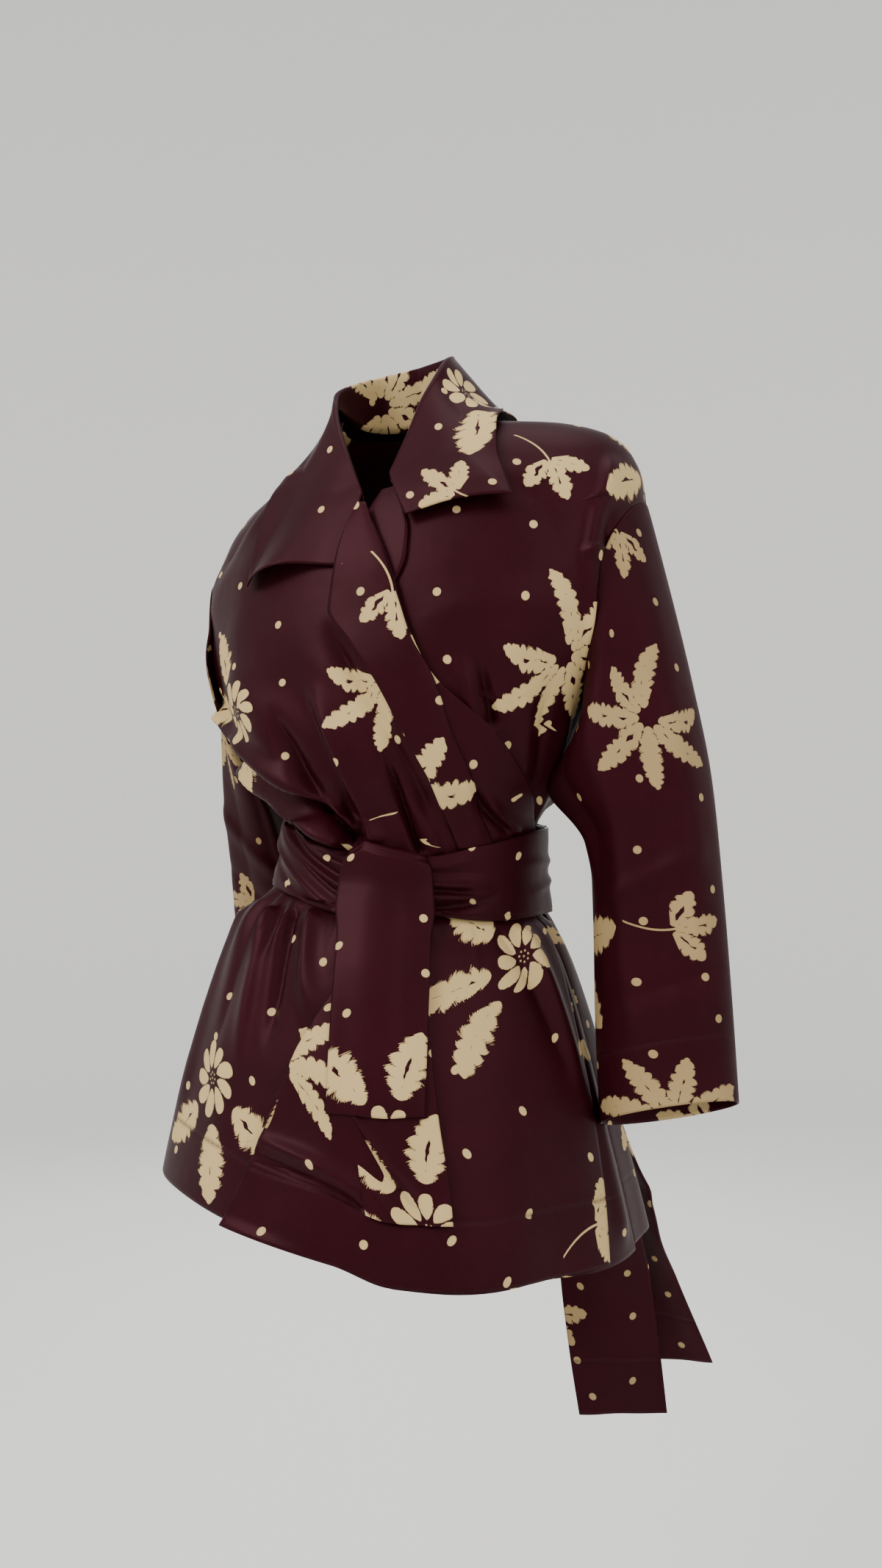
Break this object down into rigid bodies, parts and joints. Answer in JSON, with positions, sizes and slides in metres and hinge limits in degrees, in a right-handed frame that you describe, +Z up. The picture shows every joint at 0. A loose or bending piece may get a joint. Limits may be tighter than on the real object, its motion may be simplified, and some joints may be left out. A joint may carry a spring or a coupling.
{
  "type": "kimono jacket",
  "caption": "Short wrap jacket with wide dropped sleeves, a fold-over collar with long points, rolled revers and a tied sash, in soft printed silk, in its worn form.",
  "frame": {"origin": "middle of the neck base, at the height where the jacket sits on the wearer's shoulders", "axes": "+Z up, the wearer faces -Y, +X to the wearer's left"},
  "size_m": [0.5378, 0.4249, 0.9664],
  "materials": {
    "silk": "satin"
  },
  "bodies": {
    "root": {"back": "silk", "front_right": "silk", "front_left": "silk", "sleeve_right": "silk", "sleeve_left": "silk", "collar": "silk", "revers_right": "silk", "revers_left": "silk", "sash": "silk", "sash_tail_upper": "silk", "sash_tail_lower": "silk", "tie_wrap": "silk", "tie_tail_long": "silk", "tie_tail_short": "silk"}
  },
  "joints": []
}
